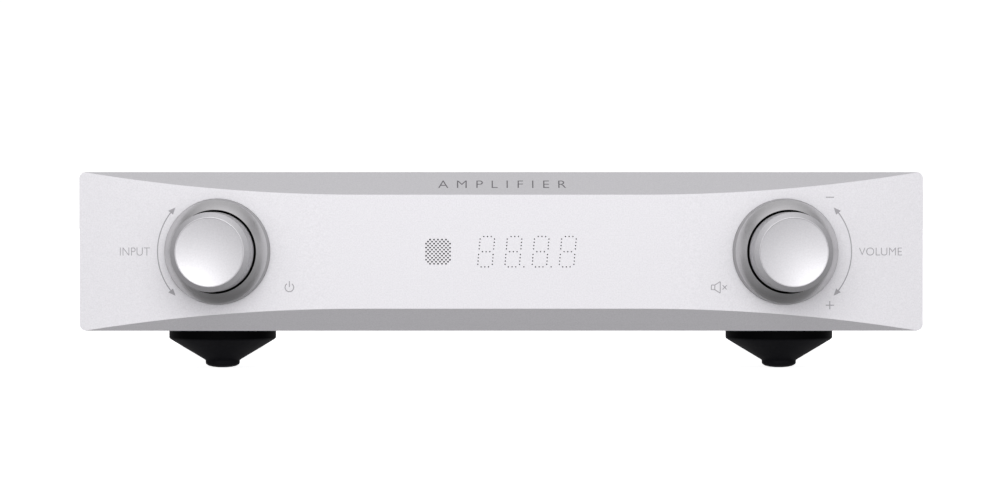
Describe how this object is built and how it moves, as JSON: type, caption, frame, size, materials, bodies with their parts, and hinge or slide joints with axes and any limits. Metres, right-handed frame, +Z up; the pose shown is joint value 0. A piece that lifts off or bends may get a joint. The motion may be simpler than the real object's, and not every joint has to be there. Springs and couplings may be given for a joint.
{
  "type": "integrated amplifier",
  "caption": "Half-width integrated amplifier with a bowed front panel, push-and-turn knobs in ring bezels, dot-matrix window, cone feet and rear terminals.",
  "frame": {"origin": "on the ground, under the middle of the amplifier's overall box", "axes": "+Z up; the front panel faces -Y; +X is the right-hand side seen from the front"},
  "size_m": [0.235, 0.2809, 0.0555],
  "materials": {
    "anodised_aluminium": "satin",
    "turned_aluminium": "satin",
    "knob_aluminium": "satin",
    "steel": "satin",
    "gilt_brass": "polished",
    "circuit_board": "satin",
    "black_plastic": "matte",
    "red_plastic": "satin",
    "smoked_window": "gloss",
    "foot_rubber": "matte",
    "copper_winding": "satin",
    "capacitor_sleeve": "satin"
  },
  "bodies": {
    "chassis": {"front_panel": "anodised_aluminium", "top_cover": "anodised_aluminium", "bottom_tray": "anodised_aluminium", "rear_panel": "anodised_aluminium", "heat_sink": "anodised_aluminium", "display_diffuser": "smoked_window", "display_board": "circuit_board", "main_board": "circuit_board", "power_board": "circuit_board", "amplifier_module_left": "circuit_board", "amplifier_module_right": "circuit_board", "input_board": "circuit_board", "volume_board": "circuit_board", "input_bezel": "turned_aluminium", "input_encoder": "steel", "input_nut": "steel", "input_push_switch": "black_plastic", "volume_bezel": "turned_aluminium", "volume_encoder": "steel", "volume_nut": "steel", "volume_push_switch": "black_plastic", "foot_front_left": "foot_rubber", "foot_front_right": "foot_rubber", "foot_rear_left": "foot_rubber", "foot_rear_right": "foot_rubber", "mains_transformer": "copper_winding", "transformer_clamp": "steel", "reservoir_capacitor_left": "capacitor_sleeve", "reservoir_capacitor_right": "capacitor_sleeve", "speaker_right_plus_post": "gilt_brass", "speaker_right_minus_post": "gilt_brass", "speaker_left_plus_post": "gilt_brass", "speaker_left_minus_post": "gilt_brass", "line_input_1": "black_plastic", "line_input_2": "black_plastic", "subwoofer_output": "black_plastic", "coaxial_input": "black_plastic", "optical_input_1": "black_plastic", "optical_input_2": "black_plastic", "data_socket": "steel", "mains_inlet": "black_plastic", "rocker_housing": "black_plastic"},
    "input_plunger_body": {"input_plunger": "gilt_brass"},
    "input_control": {"input_knob": "knob_aluminium", "input_shaft": "steel"},
    "volume_plunger_body": {"volume_plunger": "gilt_brass"},
    "volume_control": {"volume_knob": "knob_aluminium", "volume_shaft": "steel"},
    "right_plus_clamp": {"speaker_right_plus_washer": "gilt_brass"},
    "right_plus_cap": {"speaker_right_plus_cap": "red_plastic"},
    "right_minus_clamp": {"speaker_right_minus_washer": "gilt_brass"},
    "right_minus_cap": {"speaker_right_minus_cap": "black_plastic"},
    "left_plus_clamp": {"speaker_left_plus_washer": "gilt_brass"},
    "left_plus_cap": {"speaker_left_plus_cap": "red_plastic"},
    "left_minus_clamp": {"speaker_left_minus_washer": "gilt_brass"},
    "left_minus_cap": {"speaker_left_minus_cap": "black_plastic"},
    "rocker": {"power_rocker": "black_plastic"},
    "fuse_carrier": {"fuse_drawer": "black_plastic"},
    "shutter_1": {"optical_shutter_1": "black_plastic"},
    "shutter_2": {"optical_shutter_2": "black_plastic"}
  },
  "joints": [
    {"name": "input_push", "type": "slide", "parent": "chassis", "child": "input_plunger_body", "axis": [0.0834, 0.9965, 0], "range_m": [0, 0.0006], "stiffness_N_per_m": 2500, "springref_m": -0.0004},
    {"name": "input_turn", "type": "hinge", "parent": "input_plunger_body", "child": "input_control", "pos_m": [-0.0788, -0.12374, 0.0334], "axis": [-0.0834, -0.9965, 0], "continuous": true},
    {"name": "volume_push", "type": "slide", "parent": "chassis", "child": "volume_plunger_body", "axis": [-0.0834, 0.9965, 0], "range_m": [0, 0.0006], "stiffness_N_per_m": 2500, "springref_m": -0.0004},
    {"name": "volume_turn", "type": "hinge", "parent": "volume_plunger_body", "child": "volume_control", "pos_m": [0.0788, -0.12374, 0.0334], "axis": [0.0834, -0.9965, 0], "continuous": true},
    {"name": "right_plus_lift", "type": "slide", "parent": "chassis", "child": "right_plus_clamp", "axis": [0, 1, 0], "range_m": [0, 0.005]},
    {"name": "right_plus_unscrew", "type": "hinge", "parent": "right_plus_clamp", "child": "right_plus_cap", "pos_m": [0.101, 0.13, 0.0334], "axis": [0, 1, 0], "range_deg": [0, 1800]},
    {"name": "right_minus_lift", "type": "slide", "parent": "chassis", "child": "right_minus_clamp", "axis": [0, 1, 0], "range_m": [0, 0.005]},
    {"name": "right_minus_unscrew", "type": "hinge", "parent": "right_minus_clamp", "child": "right_minus_cap", "pos_m": [0.082, 0.13, 0.0334], "axis": [0, 1, 0], "range_deg": [0, 1800]},
    {"name": "left_plus_lift", "type": "slide", "parent": "chassis", "child": "left_plus_clamp", "axis": [0, 1, 0], "range_m": [0, 0.005]},
    {"name": "left_plus_unscrew", "type": "hinge", "parent": "left_plus_clamp", "child": "left_plus_cap", "pos_m": [0.063, 0.13, 0.0334], "axis": [0, 1, 0], "range_deg": [0, 1800]},
    {"name": "left_minus_lift", "type": "slide", "parent": "chassis", "child": "left_minus_clamp", "axis": [0, 1, 0], "range_m": [0, 0.005]},
    {"name": "left_minus_unscrew", "type": "hinge", "parent": "left_minus_clamp", "child": "left_minus_cap", "pos_m": [0.044, 0.13, 0.0334], "axis": [0, 1, 0], "range_deg": [0, 1800]},
    {"name": "power_rocker_tilt", "type": "hinge", "parent": "chassis", "child": "rocker", "pos_m": [-0.06, 0.1145, 0.0334], "axis": [1, 0, 0], "range_deg": [0, 18]},
    {"name": "fuse_drawer_slide", "type": "slide", "parent": "chassis", "child": "fuse_carrier", "axis": [0, 1, 0], "range_m": [0, 0.014]},
    {"name": "optical_shutter_1_swing", "type": "hinge", "parent": "chassis", "child": "shutter_1", "pos_m": [0.011, 0.1185, 0.0454], "axis": [-1, 0, 0], "range_deg": [0, 80], "stiffness_Nm_per_rad": 0.00005, "springref_deg": -11.46},
    {"name": "optical_shutter_2_swing", "type": "hinge", "parent": "chassis", "child": "shutter_2", "pos_m": [0.011, 0.1185, 0.0284], "axis": [-1, 0, 0], "range_deg": [0, 80], "stiffness_Nm_per_rad": 0.00005, "springref_deg": -11.46}
  ],
  "couplings": [
    {"joint": "right_plus_unscrew", "follows": "right_plus_lift", "rad_per_m": 6283.2},
    {"joint": "right_minus_unscrew", "follows": "right_minus_lift", "rad_per_m": 6283.2},
    {"joint": "left_plus_unscrew", "follows": "left_plus_lift", "rad_per_m": 6283.2},
    {"joint": "left_minus_unscrew", "follows": "left_minus_lift", "rad_per_m": 6283.2}
  ]
}
